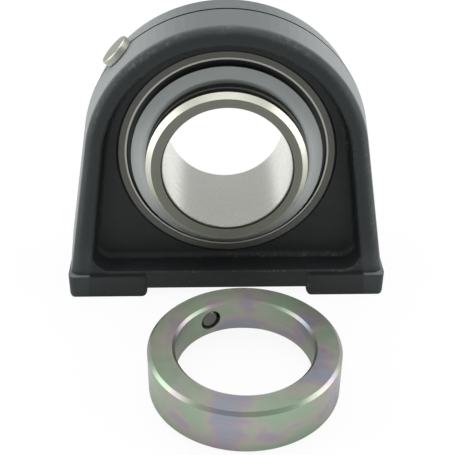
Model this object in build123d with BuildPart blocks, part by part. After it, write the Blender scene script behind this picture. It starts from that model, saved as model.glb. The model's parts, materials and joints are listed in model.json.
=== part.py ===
"""Plummer block bearing unit: one-piece cast housing with a self-aligning insert bearing.

Millimetres, +Z up. The origin lies in the foot plane, under the bearing's centre.
The shaft runs along Y, and the front of the unit, with the eccentric boss, faces -Y.
The locking collar is off the shaft and lies on the foot plane in front of the unit.
"""
import os
from math import asin, cos, radians, sin, sqrt, tan

from build123d import *

# ---------------------------------------------------------------- driving dimensions
# unit
shaft_diameter = 50.0
shaft_height = 57.2
bolt_spacing = 101.6
base_length = 130.4

# housing casting
dome_radius = 57.2          # at the parting plane, about the shaft axis
side_lean = 10.0            # how far the side walls spread towards the base, in degrees
outer_draft = 5.5
below_foot = -8.0           # where the drafted walls are drawn down to before they are cut at the foot
base_half_width = 24.9      # of the leaning front face, at the foot plane
face_lean = 4.1             # the front and rear faces lean in towards the top
rim_round = 4.5
recess_radius = 49.2        # inner edge of the rim, on the front face
recess_lean = 7.5
recess_draft = 4.0
recess_bottom = 11.0
recess_corner = 7.0
floor_half_width = 14.0     # of the web between the recesses, at the foot plane
floor_lean = 2.9
floor_round = 2.5
lip_round = 1.2
parting_groove_width = 1.1
parting_groove_depth = 0.5

# feet
foot_inner = 33.1
foot_height = 9.9
foot_half_width = 25.8
foot_round = 2.5            # of the upright corners
foot_edge_round = 1.7       # of the bottom edges that run across the foot
relief_height = 3.45
tapped_hole_radius = 7.0
tapped_hole_depth = 24.0

# insert bearing
insert_tilt = 3.9           # the insert looks up by this angle in its spherical seat
sphere_radius = 45.0
seat_clearance = 0.06
outer_ring_width = 22.0
ring_face_chamfer = 0.9
inner_ring_width = 49.2
pitch_radius = 35.0
ball_radius = 6.35
ball_count = 10
ball_clearance = 0.15
raceway_conformity = 1.06
outer_land_radius = 39.2
inner_land_radius = 31.9
bore_chamfer_radial = 0.7
bore_chamfer_axial = 1.65
boss_radius = 31.25
boss_eccentricity = 0.3
boss_length = 5.4
boss_chamfer_radial = 2.15
boss_chamfer_axial = 1.9

# cage
cage_wall = 2.9
cage_back = 1.6
cage_lip = 3.2
pocket_clearance = 0.2

# seals
seal_seat_radius = 40.4
seal_seat_depth = 2.6
seal_gap = 0.02
plate_thickness = 0.8
plate_inner_radius = 36.0
seal_recess = 0.3           # how far the plate's rolled rim stays behind the ring's face
lip_cover = 1.0
lip_thickness = 1.2
lip_clearance = 0.15
flinger_radius = 37.7
flinger_bend_radius = 33.5
flinger_front = 15.3        # axial distance of its hub face from the ball centres
flinger_back = 12.5
flinger_thickness = 0.8
flinger_hub_length = 1.2

# lubrication hole and plug
lube_angle = 136.2          # round the shaft axis, from +X
lube_hole_radius = 3.0
plug_clearance = 0.03
plug_head_radius = 6.5
plug_head_height = 3.1
plug_shank_length = 7.5
plug_edge = 0.4
spot_face_depth = 0.5
spot_face_margin = 0.5
grease_groove_width = 4.0
grease_groove_depth = 1.0

# locking collar, lying with its recess down
collar_radius = 34.95
collar_width = 18.3
collar_bore_chamfer = 1.0
collar_edge = 1.2
collar_clearance = 0.05
recess_clearance = 0.15
collar_x = 5.1
collar_y = -78.8
screw_angle = 118.8
screw_radius = 4.0
screw_length = 8.0
screw_clearance = 0.05
screw_inset = 0.5           # how far the screw's tip stays behind the bore wall
screw_socket_flat = 4.0
screw_socket_depth = 3.5
screw_point_radius = 2.8
screw_point_length = 1.0

# ---------------------------------------------------------------- derived places
shaft_radius = shaft_diameter / 2
ring_half = outer_ring_width / 2
inner_half = inner_ring_width / 2
ring_face_radius = sqrt(sphere_radius**2 - ring_half**2)
raceway_radius = ball_radius * raceway_conformity

insert = Plane.XY.offset(shaft_height).rotated((-insert_tilt, 0, 0))
insert_axis = Axis(insert.origin, insert.y_dir)
insert_front = Plane(origin=insert.origin, x_dir=insert.x_dir, z_dir=-insert.y_dir)
housing_axis = Axis((0, 0, shaft_height), (0, 1, 0))

os.makedirs("parts", exist_ok=True)


def side_x(radius, lean, height):
    """Half width, at a height, of the wall that leaves a circle round the shaft at this lean."""
    return radius / cos(radians(lean)) + (shaft_height - height) * tan(radians(lean))


def arch_outline(radius, lean, bottom):
    """Sketch of an arch round the shaft, X across and Y up, with side walls that spread downwards."""
    tangent_x = radius * cos(radians(lean))
    tangent_z = shaft_height + radius * sin(radians(lean))
    foot_x = side_x(radius, lean, bottom)
    with BuildSketch() as outline:
        with BuildLine():
            ThreePointArc((-tangent_x, tangent_z), (0, shaft_height + radius), (tangent_x, tangent_z))
            Polyline((tangent_x, tangent_z), (foot_x, bottom), (-foot_x, bottom), (-tangent_x, tangent_z))
        make_face()
    return outline.sketch


def leaning_plane(half_width, lean):
    """Plane of a front face that stands half_width forward at the foot and leans back by lean."""
    normal = (0, -cos(radians(lean)), sin(radians(lean)))
    return Plane(origin=(0, -half_width, 0), x_dir=(1, 0, 0), z_dir=normal)


# ---------------------------------------------------------------- housing
lube_direction = (cos(radians(lube_angle)), 0, sin(radians(lube_angle)))
lube_plane = Plane(origin=(0, 0, shaft_height), x_dir=(0, 1, 0), z_dir=lube_direction)
plug_seat_radius = dome_radius - spot_face_depth
front_face = leaning_plane(base_half_width, face_lean)
floor_face = leaning_plane(floor_half_width, floor_lean)

with BuildPart() as recess_core:
    with BuildSketch(Plane.XZ.offset(foot_half_width)):
        add(arch_outline(recess_radius, recess_lean, recess_bottom))
        lower_corners = vertices().group_by(Axis.Y)[0]
        fillet(lower_corners, recess_corner)
    extrude(amount=-foot_half_width, taper=recess_draft)
    split(bisect_by=floor_face, keep=Keep.TOP)
    floor_edges = faces().sort_by(Axis.Y)[-1].edges()
    fillet(floor_edges, floor_round)

foot_length = base_length / 2 - foot_inner
with BuildPart() as foot:
    with BuildSketch():
        RectangleRounded(foot_length, 2 * foot_half_width, foot_round)
    extrude(amount=foot_height)
    with BuildSketch(Plane.XZ):
        Rectangle(foot_length, foot_height, align=(Align.CENTER, Align.MIN))
        bottom_corners = vertices().group_by(Axis.Y)[0]
        fillet(bottom_corners, foot_edge_round)
    extrude(amount=foot_half_width, both=True, mode=Mode.INTERSECT)

with BuildPart() as housing:
    with BuildSketch(Plane.XZ):
        add(arch_outline(dome_radius, side_lean, below_foot))
    extrude(amount=foot_half_width, taper=outer_draft)
    split(bisect_by=front_face, keep=Keep.BOTTOM)
    rim_edges = faces().sort_by(Axis.Y)[0].edges().sort_by(Axis.Z)[1:]
    fillet(rim_edges, rim_round)
    with Locations((0, 0, relief_height)):
        Box(base_length, 4 * foot_half_width, 4 * dome_radius,
            align=(Align.CENTER, Align.CENTER, Align.MIN), mode=Mode.INTERSECT)
    add(recess_core.part, mode=Mode.SUBTRACT)
    lip_edges = faces().sort_by(Axis.Y)[0].inner_wires()[0].edges()
    fillet(lip_edges, lip_round)

    for side in (-1, 1):
        with Locations((side * (foot_inner + foot_length / 2), 0)):
            add(foot.part)
    mirror(about=Plane.XZ)

    with BuildSketch(Plane.XZ):
        add(arch_outline(dome_radius, side_lean, below_foot))
        add(arch_outline(dome_radius - parting_groove_depth, side_lean, 2 * below_foot), mode=Mode.SUBTRACT)
    extrude(amount=parting_groove_width / 2, both=True, mode=Mode.SUBTRACT)

    # spherical seat with its grease groove, fed through the lubrication hole
    with Locations((0, 0, shaft_height)):
        Sphere(sphere_radius + seat_clearance, mode=Mode.SUBTRACT)
    with BuildSketch(Plane.YZ):
        with Locations((0, shaft_height + sphere_radius)):
            Rectangle(grease_groove_width, 2 * grease_groove_depth)
    revolve(axis=housing_axis, mode=Mode.SUBTRACT)
    with BuildSketch(lube_plane.offset(plug_seat_radius)):
        Circle(plug_head_radius + spot_face_margin)
    extrude(amount=2 * spot_face_depth + parting_groove_depth, mode=Mode.SUBTRACT)
    with BuildSketch(lube_plane.offset(sphere_radius)):
        Circle(lube_hole_radius)
    extrude(amount=dome_radius - sphere_radius, mode=Mode.SUBTRACT)

    # blind tapped holes for the two fixing bolts, in the feet
    with BuildSketch(Plane.XY):
        with GridLocations(bolt_spacing, 0, 2, 1):
            Circle(tapped_hole_radius)
    extrude(amount=tapped_hole_depth, mode=Mode.SUBTRACT)
housing.part.label = "housing"
export_step(housing.part, "parts/housing.step")

with BuildPart() as lubrication_plug:
    with BuildSketch(lube_plane.offset(plug_seat_radius)):
        Circle(plug_head_radius)
    extrude(amount=plug_head_height)
    rim = edges().filter_by(GeomType.CIRCLE)
    chamfer(rim, plug_edge)
    with BuildSketch(lube_plane.offset(plug_seat_radius - plug_shank_length)):
        Circle(lube_hole_radius - plug_clearance)
    extrude(amount=plug_shank_length + plug_edge)
lubrication_plug.part.label = "lubrication_plug"
export_step(lubrication_plug.part, "parts/lubrication_plug.step")

# ---------------------------------------------------------------- insert bearing: rings
outer_race_bottom = pitch_radius + ball_radius + ball_clearance
inner_race_bottom = pitch_radius - ball_radius - ball_clearance

with BuildPart() as outer_ring:
    with BuildSketch(insert):
        with BuildLine():
            chamfer_angle = asin((ring_half - ring_face_chamfer) / sphere_radius)
            edge_radius = sphere_radius * cos(chamfer_angle)
            ThreePointArc((edge_radius, ring_face_chamfer - ring_half), (sphere_radius, 0),
                          (edge_radius, ring_half - ring_face_chamfer))
            Polyline((edge_radius, ring_half - ring_face_chamfer),
                     (ring_face_radius - ring_face_chamfer, ring_half),
                     (seal_seat_radius, ring_half),
                     (seal_seat_radius, ring_half - seal_seat_depth),
                     (outer_land_radius, ring_half - seal_seat_depth),
                     (outer_land_radius, seal_seat_depth - ring_half),
                     (seal_seat_radius, seal_seat_depth - ring_half),
                     (seal_seat_radius, -ring_half),
                     (ring_face_radius - ring_face_chamfer, -ring_half),
                     (edge_radius, ring_face_chamfer - ring_half))
        make_face()
        with Locations((outer_race_bottom - raceway_radius, 0)):
            Circle(raceway_radius, mode=Mode.SUBTRACT)
    revolve(axis=insert_axis)
outer_ring.part.label = "outer_ring"
export_step(outer_ring.part, "parts/outer_ring.step")

boss_end = inner_half - boss_length
with BuildPart() as inner_ring:
    with BuildSketch(insert):
        with BuildLine():
            Polyline((shaft_radius, -boss_end),
                     (inner_land_radius, -boss_end),
                     (inner_land_radius, inner_half - boss_chamfer_axial),
                     (inner_land_radius - boss_chamfer_radial, inner_half),
                     (shaft_radius + bore_chamfer_radial, inner_half),
                     (shaft_radius, inner_half - bore_chamfer_axial),
                     close=True)
        make_face()
        with Locations((inner_race_bottom + raceway_radius, 0)):
            Circle(raceway_radius, mode=Mode.SUBTRACT)
    revolve(axis=insert_axis)
    with BuildSketch(insert_front.offset(boss_end)):
        with Locations((-boss_eccentricity, 0)):
            Circle(boss_radius)
    extrude(amount=boss_length)
    boss_rim = edges().filter_by(GeomType.CIRCLE).sort_by(insert_axis)[0]
    chamfer(boss_rim, boss_chamfer_axial, boss_chamfer_radial)
    with BuildSketch(insert_front.offset(boss_end)):
        Circle(shaft_radius)
    extrude(amount=boss_length, mode=Mode.SUBTRACT)
    bore_mouth = edges().filter_by(GeomType.CIRCLE).group_by(insert_axis)[0].sort_by(SortBy.RADIUS)[0]
    chamfer(bore_mouth, bore_chamfer_axial, bore_chamfer_radial)
inner_ring.part.label = "inner_ring"
export_step(inner_ring.part, "parts/inner_ring.step")

# ---------------------------------------------------------------- balls and cage
ball_places = [(pitch_radius * cos(radians(360 / ball_count * number)), 0,
                pitch_radius * sin(radians(360 / ball_count * number)))
               for number in range(ball_count)]

for number, place in enumerate(ball_places, start=1):
    with BuildPart(insert) as ball:
        with Locations(place):
            Sphere(ball_radius)
    ball.part.label = f"ball_{number:02d}"
    export_step(ball.part, f"parts/ball_{number:02d}.step")

pocket_radius = ball_radius + pocket_clearance
with BuildPart() as cage:
    with BuildSketch(insert):
        with Locations((pitch_radius, (pocket_radius + cage_back - cage_lip) / 2)):
            Rectangle(cage_wall, pocket_radius + cage_back + cage_lip)
    revolve(axis=insert_axis)
    for place in ball_places:
        with Locations(insert.from_local_coords(place)):
            Sphere(pocket_radius, mode=Mode.SUBTRACT)
cage.part.label = "cage"
export_step(cage.part, "parts/cage.step")

# ---------------------------------------------------------------- seals, one set at each face
lip_radius = inner_land_radius + lip_clearance
plate_face = ring_half - seal_seat_depth + plate_thickness

for end, name in ((-1, "front"), (1, "rear")):
    with BuildPart() as seal_plate:
        with BuildSketch(insert):
            with BuildLine():
                Polyline((plate_inner_radius, end * (plate_face - plate_thickness)),
                         (seal_seat_radius - seal_gap, end * (plate_face - plate_thickness)),
                         (seal_seat_radius - seal_gap, end * (ring_half - seal_recess)),
                         (seal_seat_radius - plate_thickness, end * (ring_half - seal_recess)),
                         (seal_seat_radius - plate_thickness, end * plate_face),
                         (plate_inner_radius, end * plate_face),
                         close=True)
            make_face()
        revolve(axis=insert_axis)
    seal_plate.part.label = f"seal_plate_{name}"
    export_step(seal_plate.part, f"parts/seal_plate_{name}.step")

    with BuildPart() as seal_lip:
        with BuildSketch(insert):
            with BuildLine():
                Polyline((lip_radius, end * plate_face),
                         (lip_radius + lip_thickness, end * (plate_face - plate_thickness)),
                         (plate_inner_radius, end * (plate_face - plate_thickness)),
                         (plate_inner_radius, end * plate_face),
                         (plate_inner_radius + lip_cover, end * plate_face),
                         (plate_inner_radius + lip_cover, end * (plate_face + lip_thickness / 2)),
                         (lip_radius + lip_thickness, end * (plate_face + lip_thickness / 2)),
                         close=True)
            make_face()
        revolve(axis=insert_axis)
    seal_lip.part.label = f"seal_lip_{name}"
    export_step(seal_lip.part, f"parts/seal_lip_{name}.step")

    with BuildPart() as flinger:
        with BuildSketch(insert):
            with BuildLine():
                Polyline((inner_land_radius, end * flinger_front),
                         (flinger_bend_radius, end * flinger_front),
                         (flinger_radius, end * (flinger_back + flinger_thickness)),
                         (flinger_radius, end * flinger_back),
                         (flinger_bend_radius, end * (flinger_front - flinger_thickness)),
                         (inner_land_radius + flinger_thickness, end * (flinger_front - flinger_thickness)),
                         (inner_land_radius + flinger_thickness, end * (flinger_front - flinger_hub_length)),
                         (inner_land_radius, end * (flinger_front - flinger_hub_length)),
                         close=True)
            make_face()
        revolve(axis=insert_axis)
    flinger.part.label = f"flinger_{name}"
    export_step(flinger.part, f"parts/flinger_{name}.step")

# ---------------------------------------------------------------- locking collar and its screw
recess_depth = boss_length + recess_clearance
screw_height = (collar_width + recess_depth) / 2
screw_plane = Plane(origin=(collar_x, collar_y, screw_height),
                    x_dir=(-sin(radians(screw_angle)), cos(radians(screw_angle)), 0),
                    z_dir=(cos(radians(screw_angle)), sin(radians(screw_angle)), 0))
screw_tip = shaft_radius + collar_clearance + screw_inset

with BuildPart() as locking_collar:
    with Locations((collar_x, collar_y)):
        Cylinder(collar_radius, collar_width, align=(Align.CENTER, Align.CENTER, Align.MIN))
    outer_rims = edges().filter_by(GeomType.CIRCLE)
    chamfer(outer_rims, collar_edge)
    with BuildSketch(Plane.XY):
        with Locations((collar_x, collar_y)):
            Circle(shaft_radius + collar_clearance)
    extrude(amount=collar_width, mode=Mode.SUBTRACT)
    bore_rim = edges().filter_by(GeomType.CIRCLE).sort_by(Axis.Z)[-1]
    chamfer(bore_rim, collar_bore_chamfer)
    with BuildSketch(Plane.XY):
        with Locations((collar_x, collar_y + boss_eccentricity)):
            Circle(boss_radius + recess_clearance)
    extrude(amount=recess_depth, mode=Mode.SUBTRACT)
    with BuildSketch(screw_plane):
        Circle(screw_radius + screw_clearance)
    extrude(amount=collar_radius, mode=Mode.SUBTRACT)
locking_collar.part.label = "locking_collar"
export_step(locking_collar.part, "parts/locking_collar.step")

with BuildPart() as grub_screw:
    with BuildSketch(screw_plane.offset(screw_tip)):
        Circle(screw_radius)
    extrude(amount=screw_length)
    point_rim = edges().filter_by(GeomType.CIRCLE).sort_by(Axis(screw_plane.origin, screw_plane.z_dir))[0]
    chamfer(point_rim, screw_point_length, screw_radius - screw_point_radius)
    with BuildSketch(screw_plane.offset(screw_tip + screw_length)):
        RegularPolygon(screw_socket_flat / 2, 6, major_radius=False)
    extrude(amount=-screw_socket_depth, mode=Mode.SUBTRACT)
grub_screw.part.label = "grub_screw"
export_step(grub_screw.part, "parts/grub_screw.step")
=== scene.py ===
"""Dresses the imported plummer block: casting, insert bearing, seals, locking collar, threads and studio."""
from __future__ import annotations

import json
import logging
import math
from dataclasses import dataclass, field
from enum import Enum
from typing import Any

import bmesh
import bpy
from mathutils import Matrix, Vector

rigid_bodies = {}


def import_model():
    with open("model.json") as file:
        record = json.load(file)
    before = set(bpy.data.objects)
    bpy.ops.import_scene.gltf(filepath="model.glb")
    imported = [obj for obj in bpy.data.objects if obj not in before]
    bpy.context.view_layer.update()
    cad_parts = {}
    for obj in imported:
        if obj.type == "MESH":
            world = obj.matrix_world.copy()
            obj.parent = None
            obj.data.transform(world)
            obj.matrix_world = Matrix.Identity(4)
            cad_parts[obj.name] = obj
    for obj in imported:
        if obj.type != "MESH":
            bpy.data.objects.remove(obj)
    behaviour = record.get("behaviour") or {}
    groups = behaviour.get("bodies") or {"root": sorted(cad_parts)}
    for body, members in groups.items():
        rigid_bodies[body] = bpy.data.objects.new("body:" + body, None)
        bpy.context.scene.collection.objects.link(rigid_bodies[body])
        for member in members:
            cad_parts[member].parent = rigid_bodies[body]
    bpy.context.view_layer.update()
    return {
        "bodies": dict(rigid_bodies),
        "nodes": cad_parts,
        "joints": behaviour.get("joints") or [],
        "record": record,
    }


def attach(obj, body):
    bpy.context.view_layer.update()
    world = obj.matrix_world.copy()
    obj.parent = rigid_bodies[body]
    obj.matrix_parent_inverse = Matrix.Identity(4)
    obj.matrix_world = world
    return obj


log = logging.getLogger("plummer_block")

MM = 0.001
SHAFT_HEIGHT = 57.2
INSERT_TILT = math.radians(3.9)
Colour = tuple[float, float, float]
Lamp = tuple[str, tuple[float, float, float], float, float, float]   # name, place, width, height, power


class Body(Enum):
    """The moving group that the made pieces ride on."""

    BASE = "base"


class End(Enum):
    """The two ends of the insert bearing."""

    FRONT = "front"
    REAR = "rear"


class Side(Enum):
    """The two feet, by the sign of their place along X."""

    LEFT = -1
    RIGHT = 1


# ------------------------------------------------------------------ shader graph
class Signal:
    """A shader value whose arithmetic adds Math nodes to its material."""

    def __init__(self, bench: "Bench", source: Any) -> None:
        """Keeps the bench and the socket or number.

        Args:
            bench: the material being built.
            source: an output socket or a plain number.
        """
        self.bench = bench
        self.source = source

    def _maths(self, operation: str, *values: Any) -> "Signal":
        """Adds one Math node.

        Args:
            operation: the node's operation.
            values: its inputs, in order.

        Returns:
            The node's value.
        """
        return self.bench.node("ShaderNodeMath", {"operation": operation}, dict(enumerate(values)))

    def __add__(self, other: Any) -> "Signal":
        """Sum."""
        return self._maths("ADD", self, other)

    def __radd__(self, other: Any) -> "Signal":
        """Sum, with a number on the left."""
        return self._maths("ADD", other, self)

    def __sub__(self, other: Any) -> "Signal":
        """Difference."""
        return self._maths("SUBTRACT", self, other)

    def __rsub__(self, other: Any) -> "Signal":
        """Difference, with a number on the left."""
        return self._maths("SUBTRACT", other, self)

    def __mul__(self, other: Any) -> "Signal":
        """Product."""
        return self._maths("MULTIPLY", self, other)

    def __rmul__(self, other: Any) -> "Signal":
        """Product, with a number on the left."""
        return self._maths("MULTIPLY", other, self)

    def __abs__(self) -> "Signal":
        """Magnitude."""
        return self._maths("ABSOLUTE", self)

    def least(self, other: Any) -> "Signal":
        """The smaller of the two."""
        return self._maths("MINIMUM", self, other)

    def most(self, other: Any) -> "Signal":
        """The larger of the two."""
        return self._maths("MAXIMUM", self, other)

    def root(self) -> "Signal":
        """Square root."""
        return self._maths("SQRT", self)

    def over(self, low: float, high: float) -> "Signal":
        """Smooth step.

        Args:
            low: where the result is 0.
            high: where the result is 1; it may be the smaller number.

        Returns:
            A value from 0 to 1.
        """
        return self.bench.node("ShaderNodeMapRange", {"interpolation_type": "SMOOTHSTEP"},
                               {"Value": self, "From Min": low, "From Max": high})

    def band(self, low: float, high: float, soft: float) -> "Signal":
        """Mask of a span.

        Args:
            low: the span's start.
            high: the span's end.
            soft: width of its soft edges.

        Returns:
            1 inside the span and 0 outside it.
        """
        return self.over(low - soft, low + soft) * self.over(high + soft, high - soft)


class Bench:
    """One material's node tree, with the helpers that fill it."""

    def __init__(self, name: str) -> None:
        """Starts an empty material.

        Args:
            name: the material's name.
        """
        self.material = bpy.data.materials.new(name)
        self.material.use_nodes = True
        self.tree = self.material.node_tree
        self.tree.nodes.clear()

    def node(self, kind: str, settings: dict[str, Any], values: dict[Any, Any], output: Any = 0) -> Signal:
        """Adds a node.

        Args:
            kind: the node's type.
            settings: properties set first; "stops" fills a colour ramp.
            values: socket name or number to a value, a colour or a Signal.
            output: name or number of the output that is wanted.

        Returns:
            That output.
        """
        made = self.tree.nodes.new(kind)
        for key, setting in settings.items():
            if key == "stops":
                ramp = made.color_ramp
                while len(ramp.elements) < len(setting):
                    ramp.elements.new(0.5)
                for element, (place, colour) in zip(ramp.elements, setting):
                    element.position = place
                    element.color = (*colour, 1.0)
            else:
                setattr(made, key, setting)
        for key, value in values.items():
            socket = made.inputs[key]
            source = value.source if isinstance(value, Signal) else value
            if isinstance(source, bpy.types.NodeSocket):
                self.tree.links.new(source, socket)
            elif source is not None:
                socket.default_value = (*source, 1.0) if socket.type == "RGBA" else source
        return Signal(self, made.outputs[output])

    def place(self) -> tuple[Signal, Signal, Signal]:
        """Where the surface is, in millimetres, in the object's own frame.

        Returns:
            x, y and z.
        """
        spot = self.node("ShaderNodeTexCoord", {}, {}, "Object")
        grown = self.node("ShaderNodeVectorMath", {"operation": "SCALE"}, {0: spot, "Scale": 1 / MM})
        parts = self.node("ShaderNodeSeparateXYZ", {}, {0: grown}).source.node
        return tuple(Signal(self, parts.outputs[axis]) for axis in range(3))

    def facing(self) -> tuple[Signal, Signal, Signal]:
        """Direction of the surface's true normal.

        Returns:
            Its x, y and z parts.
        """
        normal = self.node("ShaderNodeNewGeometry", {}, {}, "True Normal")
        parts = self.node("ShaderNodeSeparateXYZ", {}, {0: normal}).source.node
        return tuple(Signal(self, parts.outputs[axis]) for axis in range(3))

    def vector(self, x: Any, y: Any, z: Any) -> Signal:
        """Joins three values into a vector."""
        return self.node("ShaderNodeCombineXYZ", {}, {0: x, 1: y, 2: z})

    def noise(self, spot: Signal, size: float, detail: float = 2.0, rough: float = 0.5) -> Signal:
        """Soft noise.

        Args:
            spot: place in millimetres.
            size: about the size of one blob, in millimetres.
            detail: how many finer layers it has.
            rough: how strong the finer layers are.

        Returns:
            A value around 0.5.
        """
        return self.node("ShaderNodeTexNoise", {"noise_dimensions": "3D"},
                         {"Vector": spot, "Scale": 1 / size, "Detail": detail, "Roughness": rough}, "Fac")

    def ramp(self, value: Signal, stops: list[tuple[float, Colour]]) -> Signal:
        """Colour ramp over a value."""
        return self.node("ShaderNodeValToRGB", {"stops": stops}, {0: value}, "Color")

    def mix(self, share: Any, first: Any, second: Any) -> Signal:
        """Blends two colours by a share from 0 to 1."""
        return self.node("ShaderNodeMix", {"data_type": "RGBA"}, {0: share, 6: first, 7: second}, 2)

    def bump(self, height: Signal, depth: float, strength: float) -> Signal:
        """Normal from a height.

        Args:
            height: a value, 1 being the full depth.
            depth: the depth in millimetres.
            strength: how much of it is used.

        Returns:
            The bumped normal.
        """
        values = {"Height": height, "Distance": depth * MM, "Strength": strength}
        return self.node("ShaderNodeBump", {}, values)

    def finish(self, values: dict[str, Any]) -> bpy.types.Material:
        """Ends the tree with a Principled shader.

        Args:
            values: the shader's socket values.

        Returns:
            The material.
        """
        shader = self.node("ShaderNodeBsdfPrincipled", {}, values)
        end = self.tree.nodes.new("ShaderNodeOutputMaterial")
        self.tree.links.new(shader.source, end.inputs["Surface"])
        return self.material


@dataclass(frozen=True)
class Turned:
    """Where a turned part's axis lies: through (0, 0, height), tilted by the insert's angle."""

    height: float = SHAFT_HEIGHT
    tilt: float = INSERT_TILT

    def coordinates(self, bench: Bench) -> tuple[Signal, Signal, Signal, Signal]:
        """Own coordinates of the part.

        Args:
            bench: the material being built.

        Returns:
            Distance from the axis, place along it, and the two cross coordinates.
        """
        x, y, z = bench.place()
        lifted = z - self.height
        along = y * math.cos(self.tilt) - lifted * math.sin(self.tilt)
        up = y * math.sin(self.tilt) + lifted * math.cos(self.tilt)
        return (x * x + up * up).root(), along, x, up


# ------------------------------------------------------------------ finishes
@dataclass(frozen=True)
class CastPaint:
    """Sand-cast iron under thin blue-grey paint, pebbly, with painted light and shade: a painted highlight
    on the top and outer faces, painted sheen on the flanks, and painted shade on the front faces and in the
    recesses.
    """

    paint: Colour = (0.0180, 0.0245, 0.0270)
    # painted shade for the recess inside the arch
    painted_recess_shade: Colour = (0.0060, 0.0080, 0.0088)
    dust: Colour = (0.050, 0.056, 0.055)
    worn: Colour = (0.115, 0.118, 0.105)
    # painted highlight: the top and outer faces are painted paler, as where light falls
    painted_top_light: Colour = (0.150, 0.165, 0.166)
    # painted sheen on the dome's flanks
    painted_flank_sheen: Colour = (0.330, 0.345, 0.345)
    # painted shade on the front faces
    painted_front_shade: Colour = (0.0050, 0.0095, 0.0115)
    front_shade_bottom: float = 14.0        # the painted front shade fades in over this height above the feet
    seam: Colour = (0.012, 0.014, 0.015)
    seam_half_width: float = 0.60
    recess_radius: float = 49.2
    recess_lean: float = math.radians(7.5)
    grain: float = 0.75
    speckles: float = 1.6
    lumps: float = 3.2
    patches: float = 18.0
    grain_depth: float = 0.11
    lump_depth: float = 0.28
    bump_share: float = 0.9

    def recess_mask(self, x: Signal, z: Signal) -> Signal:
        """Finds the recess inside the arch, where painted shade is laid.

        Args:
            x: place across the shaft, in millimetres.
            z: height, in millimetres.

        Returns:
            1 inside the arch's inner edge and 0 outside it.
        """
        lifted = z - SHAFT_HEIGHT
        across = abs(x) + lifted.least(0.0) * math.tan(self.recess_lean)
        above = lifted.most(0.0)
        arch = (across * across + above * above).root()
        return arch.over(self.recess_radius + 1.6, self.recess_radius + 0.2)

    def material(self) -> bpy.types.Material:
        """Builds the casting's material.

        Returns:
            The material.
        """
        bench = Bench("cast_paint")
        x, y, z = bench.place()
        spot = bench.vector(x, y, z)
        grain = bench.noise(spot, self.grain, 3.0, 0.6)
        lumps = bench.noise(spot, self.lumps, 2.0, 0.5)
        broad = bench.noise(spot, self.patches, 3.0, 0.55)
        speckle = bench.noise(spot, self.speckles, 4.0, 0.65).over(0.47, 0.66)
        nx, ny, nz = bench.facing()
        forward = abs(ny)

        in_recess = self.recess_mask(x, z)
        beyond = 1.0 - in_recess
        # front faces above the feet get painted shade
        front_shade_mask = forward.over(0.80, 0.96) * z.over(self.front_shade_bottom, 2 * self.front_shade_bottom) * beyond
        # outer marks the faces turned away from the front, which get the painted highlight
        outer = forward.over(0.55, 0.10) * beyond
        # flanks facing sideways and up get the painted sheen
        painted_flank_sheen = outer * abs(nx).over(0.15, 0.75) * nz.over(-0.1, 0.25)
        seam = abs(y).over(self.seam_half_width + 0.15, self.seam_half_width - 0.10) * outer
        rubbed = forward.band(0.34, 0.90, 0.10) * speckle * broad.over(0.46, 0.62)

        colour = bench.mix(broad.over(0.35, 0.75) * 0.35, self.paint, self.dust)
        colour = bench.mix(speckle * 0.16, colour, self.dust)
        # painted shade on the front faces
        colour = bench.mix(front_shade_mask * 0.75, colour, self.painted_front_shade)
        # painted highlight on the top and outer faces
        colour = bench.mix(outer * 0.8, colour, self.painted_top_light)
        # painted sheen on the flanks
        colour = bench.mix(painted_flank_sheen * 0.7, colour, self.painted_flank_sheen)
        # painted shade darkens the recess
        colour = bench.mix(in_recess * 0.8, colour, self.painted_recess_shade)
        colour = bench.mix(rubbed * 0.45, colour, self.worn)
        colour = bench.mix(seam, colour, self.seam)

        rough = 0.46 + 0.16 * broad + 0.10 * grain
        height = grain * self.grain_depth + lumps * self.lump_depth
        normal = bench.bump(height, 1.0, self.bump_share)
        return bench.finish({"Base Color": colour, "Roughness": rough, "Normal": normal,
                             "Specular IOR Level": 0.5, "IOR": 1.5})


@dataclass(frozen=True)
class TurnedSteel:
    """Turned or ground steel with fine rings round its axis, and a painted highlight past a given radius."""

    name: str
    dark: Colour
    light: Colour
    roughness: float
    ring_size: float = 0.16
    ring_depth: float = 0.004
    blotch_size: float = 6.0
    axis: Turned = Turned()
    metallic: float = 1.0
    rim_radius: float = 1000.0      # past this radius a painted highlight lies on the metal
    painted_rim_highlight: Colour = (0.50, 0.50, 0.46)

    def material(self) -> bpy.types.Material:
        """Builds the steel's material.

        Returns:
            The material.
        """
        bench = Bench(self.name)
        radius, along, x, up = self.axis.coordinates(bench)
        rings = bench.noise(bench.vector(radius, along, 0.0), self.ring_size, 3.0, 0.6)
        blotch = bench.noise(bench.vector(x, along, up), self.blotch_size, 3.0, 0.6)
        on_painted_highlight = radius.over(self.rim_radius - 0.1, self.rim_radius + 0.1)
        colour = bench.mix(rings * 0.55 + blotch * 0.45, self.dark, self.light)
        # painted highlight on the rim past rim_radius
        colour = bench.mix(on_painted_highlight, colour, self.painted_rim_highlight)
        rough = self.roughness + 0.10 * (blotch - 0.5) + 0.12 * (rings - 0.5)
        normal = bench.bump(rings, self.ring_depth, 0.8)
        return bench.finish({"Base Color": colour, "Roughness": rough, "Normal": normal,
                             "Metallic": self.metallic})


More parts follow.
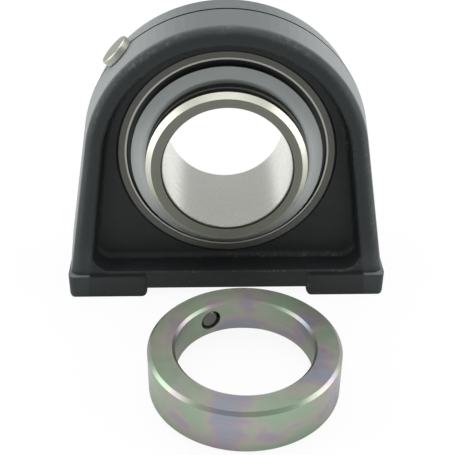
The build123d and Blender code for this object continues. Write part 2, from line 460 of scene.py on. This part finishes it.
@dataclass(frozen=True)
class InnerRingSteel:
    """The inner ring: turned face, a ground land under painted shade, a painted highlight on the chamfer,
    and a smoothly ground bore.
    """

    face: Colour = (0.245, 0.255, 0.218)
    # painted highlight on the chamfer
    painted_chamfer_highlight: Colour = (0.800, 0.800, 0.700)
    bore: Colour = (0.760, 0.770, 0.715)
    # painted shade on the land
    painted_land_shade: Colour = (0.030, 0.032, 0.028)
    groove: Colour = (0.10, 0.10, 0.08)
    bore_radius: float = 25.0
    chamfer_start: float = 28.0
    ring_size: float = 0.14
    ring_depth: float = 0.004
    blotch_size: float = 5.0
    axis: Turned = Turned()

    def material(self) -> bpy.types.Material:
        """Builds the ring's material.

        Returns:
            The material.
        """
        bench = Bench("inner_ring_steel")
        radius, along, x, up = self.axis.coordinates(bench)
        forward = abs(bench.facing()[1])
        in_bore = radius.over(self.bore_radius + 0.35, self.bore_radius + 0.05)
        front = forward.over(0.80, 0.97)
        past_face = radius.over(self.chamfer_start - 0.5, self.chamfer_start + 0.5)
        on_chamfer = forward.band(0.40, 0.80, 0.05) * past_face
        rings = bench.noise(bench.vector(radius, along, 0.0), self.ring_size, 3.0, 0.6)
        blotch = bench.noise(bench.vector(x, along, up), self.blotch_size, 3.0, 0.6)
        # painted shade on the land; the front face keeps its turned colour
        colour = bench.mix(front, self.painted_land_shade, self.face)
        # painted highlight on the chamfer
        colour = bench.mix(on_chamfer, colour, self.painted_chamfer_highlight)
        colour = bench.mix(in_bore, colour, self.bore)
        grooves = rings.over(0.3, 0.8) * (1.0 - 0.8 * in_bore)
        colour = bench.mix(grooves * 0.22, colour, self.groove)
        rough = 0.60 - 0.28 * in_bore - 0.20 * on_chamfer
        rough = rough + 0.10 * (grooves - 0.5) + 0.10 * (blotch - 0.5)
        normal = bench.bump(grooves, self.ring_depth, 0.8)
        return bench.finish({"Base Color": colour, "Roughness": rough, "Normal": normal, "Metallic": 1.0})


@dataclass(frozen=True)
class ZincPassivation:
    """Turned steel, zinc plated, with drifting green, pink and violet tints."""

    centre_x: float
    centre_y: float
    groove: Colour = (0.20, 0.20, 0.17)
    drift_size: float = 17.0
    ring_size: float = 0.22
    ring_depth: float = 0.006
    blotch_size: float = 3.0

    def material(self) -> bpy.types.Material:
        """Builds the collar's material.

        Returns:
            The material.
        """
        bench = Bench("zinc_passivation")
        x, y, z = bench.place()
        dx, dy = x - self.centre_x, y - self.centre_y
        radius = (dx * dx + dy * dy).root()
        spot = bench.vector(x, y, z)
        drift = bench.noise(bench.vector(x, y, z * 1.6), self.drift_size, 2.0, 0.45)
        tint = bench.ramp(drift.over(0.28, 0.72), [
            (0.00, (0.320, 0.430, 0.320)), (0.30, (0.340, 0.410, 0.320)), (0.52, (0.375, 0.410, 0.335)),
            (0.68, (0.400, 0.395, 0.350)), (0.82, (0.400, 0.340, 0.385)), (1.00, (0.310, 0.340, 0.400))])
        rings = bench.noise(bench.vector(radius, z, 0.0), self.ring_size, 3.0, 0.6)
        blotch = bench.noise(spot, self.blotch_size, 3.0, 0.6)
        colour = bench.mix(rings.over(0.35, 0.8) * 0.25, tint, self.groove)
        rough = 0.36 + 0.14 * (blotch - 0.5) + 0.14 * (rings - 0.5)
        normal = bench.bump(rings, self.ring_depth, 0.8)
        return bench.finish({"Base Color": colour, "Roughness": rough, "Normal": normal, "Metallic": 1.0})


@dataclass(frozen=True)
class Moulded:
    """Moulded rubber or plastic with a fine matt grain."""

    name: str
    colour: Colour
    roughness: float
    grain: float = 0.5

    def material(self) -> bpy.types.Material:
        """Builds the moulding's material.

        Returns:
            The material.
        """
        bench = Bench(self.name)
        x, y, z = bench.place()
        spot = bench.vector(x, y, z)
        grain = bench.noise(spot, self.grain, 3.0, 0.6)
        paler = tuple(1.35 * part + 0.004 for part in self.colour)
        colour = bench.mix(grain, self.colour, paler)
        normal = bench.bump(grain, 0.02, 0.6)
        return bench.finish({"Base Color": colour, "Roughness": self.roughness + 0.1 * (grain - 0.5),
                             "Normal": normal})


# ------------------------------------------------------------------ made pieces
@dataclass
class HelicalThread:
    """A thread ridge that follows a helix, made by Geometry Nodes."""

    radius: float
    pitch: float
    turns: float
    depth: float
    sides: int = 40

    def tree(self) -> bpy.types.NodeTree:
        """Builds the node tree with named inputs for the thread's sizes.

        Returns:
            The tree.
        """
        group = bpy.data.node_groups.new("helical_thread", "GeometryNodeTree")
        face = group.interface
        face.new_socket("Geometry", in_out="OUTPUT", socket_type="NodeSocketGeometry")
        for name in ("Radius", "Pitch", "Turns", "Depth"):
            face.new_socket(name, in_out="INPUT", socket_type="NodeSocketFloat")
        face.new_socket("Material", in_out="INPUT", socket_type="NodeSocketMaterial")
        nodes, links = group.nodes, group.links
        given = nodes.new("NodeGroupInput")
        result = nodes.new("NodeGroupOutput")
        height = nodes.new("ShaderNodeMath")
        height.operation = "MULTIPLY"
        links.new(given.outputs["Pitch"], height.inputs[0])
        links.new(given.outputs["Turns"], height.inputs[1])
        spiral = nodes.new("GeometryNodeCurveSpiral")
        spiral.inputs["Resolution"].default_value = self.sides
        links.new(given.outputs["Turns"], spiral.inputs["Rotations"])
        links.new(given.outputs["Radius"], spiral.inputs["Start Radius"])
        links.new(given.outputs["Radius"], spiral.inputs["End Radius"])
        links.new(height.outputs[0], spiral.inputs["Height"])
        profile = nodes.new("GeometryNodeCurvePrimitiveCircle")
        profile.inputs["Resolution"].default_value = 4
        links.new(given.outputs["Depth"], profile.inputs["Radius"])
        sweep = nodes.new("GeometryNodeCurveToMesh")
        sweep.inputs["Fill Caps"].default_value = True
        links.new(spiral.outputs["Curve"], sweep.inputs["Curve"])
        links.new(profile.outputs["Curve"], sweep.inputs["Profile Curve"])
        realize = nodes.new("GeometryNodeRealizeInstances")
        links.new(sweep.outputs["Mesh"], realize.inputs[0])
        paint = nodes.new("GeometryNodeSetMaterial")
        links.new(realize.outputs[0], paint.inputs["Geometry"])
        links.new(given.outputs["Material"], paint.inputs["Material"])
        links.new(paint.outputs[0], result.inputs[0])
        return group

    def build(self, name: str, place: Matrix, material: bpy.types.Material) -> bpy.types.Object:
        """Makes the ridge as a plain mesh in place.

        Args:
            name: the piece's name.
            place: from the helix's own frame, which climbs along Z from 0, to the row frame.
            material: its material.

        Returns:
            The finished object, at the origin.
        """
        carrier = bpy.data.objects.new(name + "_carrier", bpy.data.meshes.new(name + "_carrier"))
        bpy.context.scene.collection.objects.link(carrier)
        modifier = carrier.modifiers.new("thread", "NODES")
        modifier.node_group = self.tree()
        wanted = {"Radius": self.radius * MM, "Pitch": self.pitch * MM, "Turns": self.turns,
                  "Depth": self.depth * MM, "Material": material}
        for item in modifier.node_group.interface.items_tree:
            if item.in_out == "INPUT":
                modifier[item.identifier] = wanted[item.name]
        depsgraph = bpy.context.evaluated_depsgraph_get()
        mesh = bpy.data.meshes.new_from_object(carrier.evaluated_get(depsgraph), depsgraph=depsgraph)
        bpy.data.objects.remove(carrier)
        mesh.transform(place)
        return link_piece(name, mesh, material)


def link_piece(name: str, mesh: bpy.types.Mesh, material: bpy.types.Material) -> bpy.types.Object:
    """Puts a mesh into the scene with its faces turned outwards.

    Args:
        name: the piece's name.
        mesh: the mesh, already in place.
        material: its material.

    Returns:
        The new object.
    """
    work = bmesh.new()
    work.from_mesh(mesh)
    bmesh.ops.remove_doubles(work, verts=work.verts, dist=1e-7)
    bmesh.ops.recalc_face_normals(work, faces=work.faces)
    work.to_mesh(mesh)
    work.free()
    mesh.materials.clear()
    mesh.materials.append(material)
    mesh.name = name
    piece = bpy.data.objects.new(name, mesh)
    bpy.context.scene.collection.objects.link(piece)
    return piece


def dress(frame: dict[str, Any], node: str, material: bpy.types.Material) -> None:
    """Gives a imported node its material.

    Args:
        node: the node's name.
        material: the material.
    """
    thing = frame["nodes"][node]
    for slot in thing.material_slots:
        slot.material = material
    log.info("%s dressed with %s", node, material.name)


@dataclass
class Housing:
    """The casting with its lubrication plug and the threads in its feet."""

    hole_x: float = 50.8
    hole_radius: float = 7.0
    hole_pitch: float = 2.0
    thread_start: float = 1.6       # above the foot plane
    thread_length: float = 22.0
    ridge_depth: float = 0.45
    casting: CastPaint = CastPaint()

    def build(self, frame: dict[str, Any]) -> None:
        """Dresses the casting and threads its holes.
        """
        dress(frame, "housing", self.casting.material())
        plug = TurnedSteel("plug_zinc", (0.34, 0.35, 0.30), (0.58, 0.59, 0.52), 0.40, metallic=0.9)
        dress(frame, "lubrication_plug", plug.material())
        bare_iron = TurnedSteel("tapped_iron", (0.10, 0.10, 0.10), (0.22, 0.22, 0.21), 0.42,
                                axis=Turned(0.0, 0.0)).material()
        turns = self.thread_length / self.hole_pitch
        thread = HelicalThread(self.hole_radius, self.hole_pitch, turns, self.ridge_depth)
        for side in Side:
            start = Vector((side.value * self.hole_x, 0.0, self.thread_start)) * MM
            name = f"foot_thread_{side.name.lower()}"
            piece = thread.build(name, Matrix.Translation(start), bare_iron)
            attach(piece, Body.BASE.value)
            log.info("%s rides on %s", piece.name, Body.BASE.value)


@dataclass
class InsertBearing:
    """Rings, balls, cage, seals and flingers."""

    ball_count: int = 10

    def build(self, frame: dict[str, Any]) -> None:
        """Dresses every node of the insert.
        """
        ring = TurnedSteel("outer_ring_steel", (0.105, 0.106, 0.098), (0.195, 0.197, 0.182), 0.54)
        dress(frame, "outer_ring", ring.material())
        dress(frame, "inner_ring", InnerRingSteel().material())
        ball = TurnedSteel("ball_steel", (0.50, 0.50, 0.50), (0.62, 0.62, 0.62), 0.12,
                           ring_depth=0.0).material()
        for number in range(1, self.ball_count + 1):
            dress(frame, f"ball_{number:02d}", ball)
        dress(frame, "cage", Moulded("cage_polyamide", (0.45, 0.42, 0.33), 0.55).material())
        # the seal plate's rim gets a painted highlight
        plate = TurnedSteel("seal_plate_steel", (0.030, 0.031, 0.031), (0.075, 0.078, 0.078), 0.45,
                            metallic=0.8, rim_radius=39.6).material()
        rubber = Moulded("seal_rubber", (0.010, 0.010, 0.010), 0.6).material()
        flinger = TurnedSteel("flinger_steel", (0.38, 0.41, 0.41), (0.52, 0.55, 0.54), 0.40).material()
        for end in End:
            dress(frame, f"seal_plate_{end.value}", plate)
            dress(frame, f"seal_lip_{end.value}", rubber)
            dress(frame, f"flinger_{end.value}", flinger)


@dataclass
class LockingCollar:
    """The loose collar and the grub screw in its side."""

    centre: tuple[float, float] = (5.1, -78.8)

    def build(self, frame: dict[str, Any]) -> None:
        """Dresses the collar and its screw.
        """
        dress(frame, "locking_collar", ZincPassivation(*self.centre).material())
        screw = TurnedSteel("blackened_steel", (0.10, 0.10, 0.09), (0.22, 0.22, 0.20), 0.35,
                            axis=Turned(0.0, 0.0))
        dress(frame, "grub_screw", screw.material())


# ------------------------------------------------------------------ studio
@dataclass
class Studio:
    """Camera, pale floor and soft light."""

    camera_place: tuple[float, float, float] = (-8.419, -330.198, 232.055)
    yaw: float = 0.02788
    pitch: float = 0.57720
    roll: float = 0.00718
    lens: float = 72.473
    floor_half: float = 4.0
    floor_drop: float = 0.0001
    floor_colour: Colour = (0.80, 0.80, 0.80)
    floor_white: float = 0.93       # share of plain white that the camera sees on the floor
    world_fill: float = 0.62
    lamps: list[Lamp] = field(default_factory=lambda: [
        ("overhead", (0.0, 0.15, 1.10), 1.10, 0.90, 9.0),
        ("left", (-0.95, -0.05, 0.35), 0.70, 0.80, 4.5),
        ("right", (0.95, -0.05, 0.35), 0.70, 0.80, 4.5),
    ])

    def build(self) -> None:
        """Sets up the camera, the floor, the world and the lamps."""
        self.add_camera()
        self.add_floor()
        self.add_world()
        for name, place, width, height, power in self.lamps:
            self.add_lamp(name, Vector(place), width, height, power)

    def add_camera(self) -> None:
        """Places the camera."""
        ahead = Vector((math.sin(self.yaw) * math.cos(self.pitch),
                        math.cos(self.yaw) * math.cos(self.pitch),
                        -math.sin(self.pitch)))
        level = Vector((math.cos(self.yaw), -math.sin(self.yaw), 0.0))
        upright = level.cross(ahead)
        right = math.cos(self.roll) * level + math.sin(self.roll) * upright
        up = -math.sin(self.roll) * level + math.cos(self.roll) * upright
        data = bpy.data.cameras.new("camera")
        data.lens = self.lens
        data.sensor_width = 36.0
        data.clip_start = 0.01
        camera = bpy.data.objects.new("camera", data)
        turn = Matrix((right, up, -ahead)).transposed().to_4x4()
        camera.matrix_world = Matrix.Translation(Vector(self.camera_place) * MM) @ turn
        bpy.context.scene.collection.objects.link(camera)
        bpy.context.scene.camera = camera

    def add_floor(self) -> None:
        """Lays a pale floor that stays white to the camera and keeps a faint shadow."""
        mesh = bpy.data.meshes.new("floor")
        half = self.floor_half
        corners = [(-half, -half, 0), (half, -half, 0), (half, half, 0), (-half, half, 0)]
        mesh.from_pydata(corners, [], [(0, 1, 2, 3)])
        floor = bpy.data.objects.new("floor", mesh)
        floor.location.z = -self.floor_drop
        bpy.context.scene.collection.objects.link(floor)
        bench = Bench("floor_paper")
        matt = bench.node("ShaderNodeBsdfDiffuse", {}, {"Color": self.floor_colour})
        white = bench.node("ShaderNodeEmission", {}, {"Color": (1.0, 1.0, 1.0), "Strength": 1.0})
        seen = bench.node("ShaderNodeLightPath", {}, {}, "Is Camera Ray") * self.floor_white
        both = bench.node("ShaderNodeMixShader", {}, {0: seen, 1: matt, 2: white})
        end = bench.tree.nodes.new("ShaderNodeOutputMaterial")
        bench.tree.links.new(both.source, end.inputs["Surface"])
        mesh.materials.append(bench.material)

    def add_world(self) -> None:
        """Fills the world: white to the camera, softer to the surfaces."""
        world = bpy.data.worlds.new("studio")
        world.use_nodes = True
        tree = world.node_tree
        tree.nodes.clear()
        path = tree.nodes.new("ShaderNodeLightPath")
        level = tree.nodes.new("ShaderNodeMapRange")
        level.inputs["To Min"].default_value = self.world_fill
        level.inputs["To Max"].default_value = 1.0
        background = tree.nodes.new("ShaderNodeBackground")
        end = tree.nodes.new("ShaderNodeOutputWorld")
        tree.links.new(path.outputs["Is Camera Ray"], level.inputs["Value"])
        tree.links.new(level.outputs["Result"], background.inputs["Strength"])
        tree.links.new(background.outputs[0], end.inputs["Surface"])
        bpy.context.scene.world = world

    def add_lamp(self, name: str, place: Vector, width: float, height: float, power: float) -> None:
        """Adds a soft rectangular lamp that looks at the bearing.

        Args:
            name: the lamp's name.
            place: where it hangs, in metres.
            width: its width, in metres.
            height: its height, in metres.
            power: its power, in watts.
        """
        data = bpy.data.lights.new(name, "AREA")
        data.shape = "RECTANGLE"
        data.size, data.size_y, data.energy = width, height, power
        lamp = bpy.data.objects.new(name, data)
        aim = Vector((0.0, 0.0, SHAFT_HEIGHT * MM)) - place
        lamp.rotation_euler = aim.to_track_quat("-Z", "Y").to_euler()
        lamp.location = place
        bpy.context.scene.collection.objects.link(lamp)


def main() -> None:
    """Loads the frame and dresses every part."""
    logging.basicConfig(level=logging.INFO, format="%(message)s")
    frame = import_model()
    bpy.context.scene.view_settings.view_transform = "Standard"
    Studio().build()
    Housing().build(frame)
    InsertBearing().build(frame)
    LockingCollar().build(frame)


if __name__ == "__main__":
    main()
